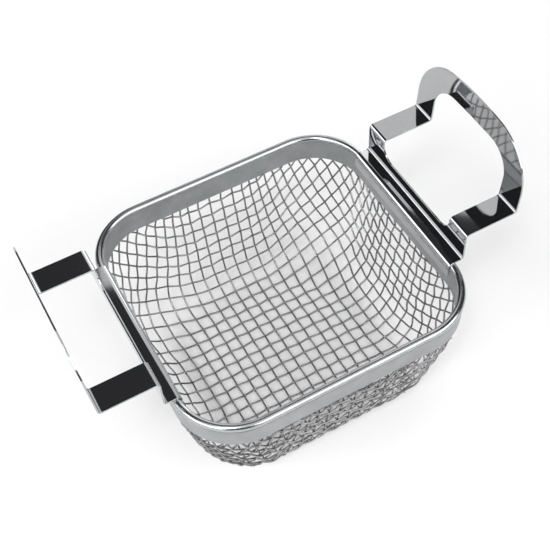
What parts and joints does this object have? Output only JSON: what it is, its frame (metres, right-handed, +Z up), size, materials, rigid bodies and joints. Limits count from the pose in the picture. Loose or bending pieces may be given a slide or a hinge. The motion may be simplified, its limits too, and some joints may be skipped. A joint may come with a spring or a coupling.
{
  "type": "ultrasonic cleaner basket",
  "caption": "Rounded square wire mesh basket with a rolled rim and two bent sheet handles that hang it in the tank of an ultrasonic cleaner.",
  "frame": {"origin": "under the middle of the basket floor, on the plane that the floor wires stand on", "axes": "+Z up out of the basket's mouth; +X from the left handle to the right handle; +Y along the rim's shorter side"},
  "size_m": [0.2052, 0.1336, 0.1262],
  "materials": {
    "wire_cloth": "bright drawn stainless steel wire",
    "rim_band": "satin stainless steel strip",
    "handle_sheet": "mirror polished stainless steel sheet"
  },
  "bodies": {
    "root": {"crosswise_wires_00": "wire_cloth", "crosswise_wires_01": "wire_cloth", "crosswise_wires_02": "wire_cloth", "crosswise_wires_03": "wire_cloth", "crosswise_wires_04": "wire_cloth", "crosswise_wires_05": "wire_cloth", "crosswise_wires_06": "wire_cloth", "crosswise_wires_07": "wire_cloth", "crosswise_wires_08": "wire_cloth", "crosswise_wires_09": "wire_cloth", "crosswise_wires_10": "wire_cloth", "crosswise_wires_11": "wire_cloth", "crosswise_wires_12": "wire_cloth", "crosswise_wires_13": "wire_cloth", "crosswise_wires_14": "wire_cloth", "crosswise_wires_15": "wire_cloth", "crosswise_wires_16": "wire_cloth", "crosswise_wires_17": "wire_cloth", "left_handle": "handle_sheet", "lengthwise_wires_00": "wire_cloth", "lengthwise_wires_01": "wire_cloth", "lengthwise_wires_02": "wire_cloth", "lengthwise_wires_03": "wire_cloth", "lengthwise_wires_04": "wire_cloth", "lengthwise_wires_05": "wire_cloth", "lengthwise_wires_06": "wire_cloth", "lengthwise_wires_07": "wire_cloth", "lengthwise_wires_08": "wire_cloth", "lengthwise_wires_09": "wire_cloth", "lengthwise_wires_10": "wire_cloth", "lengthwise_wires_11": "wire_cloth", "lengthwise_wires_12": "wire_cloth", "lengthwise_wires_13": "wire_cloth", "lengthwise_wires_14": "wire_cloth", "lengthwise_wires_15": "wire_cloth", "lengthwise_wires_16": "wire_cloth", "right_handle": "handle_sheet", "rim_inner_band": "rim_band", "rim_outer_band": "rim_band"}
  },
  "joints": []
}
